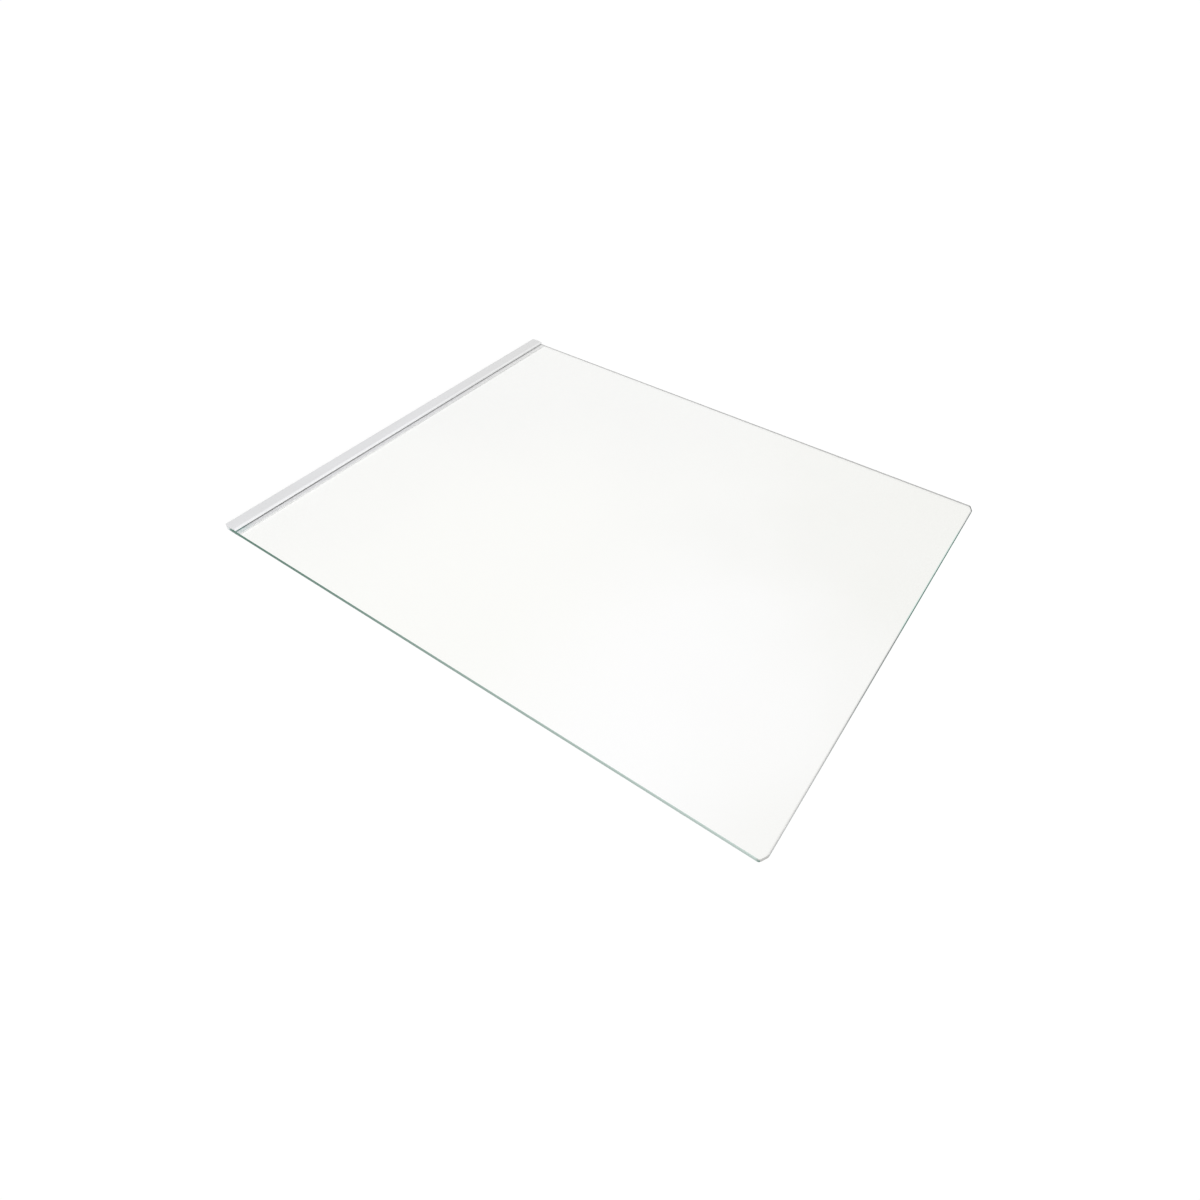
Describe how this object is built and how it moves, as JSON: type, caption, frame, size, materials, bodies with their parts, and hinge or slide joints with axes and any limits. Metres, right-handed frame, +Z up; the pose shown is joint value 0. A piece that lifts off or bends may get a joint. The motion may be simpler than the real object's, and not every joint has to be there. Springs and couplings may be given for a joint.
{
  "type": "fridge glass shelf",
  "caption": "Flat clear glass fridge shelf with cut corners and a pale plastic channel trim pushed over its front edge.",
  "frame": {"origin": "middle of the footprint, on the surface that the shelf lies on", "axes": "+X along the trimmed front edge, +Y from the front edge to the rear edge, +Z up"},
  "size_m": [0.41, 0.5048, 0.0071],
  "materials": {
    "glass": "clear toughened float glass, polished faces, ground edges with a faint green cast",
    "trim": "pale grey-white extruded plastic, satin gloss"
  },
  "bodies": {
    "root": {"glass_pane": "glass", "edge_trim": "trim"}
  },
  "joints": []
}
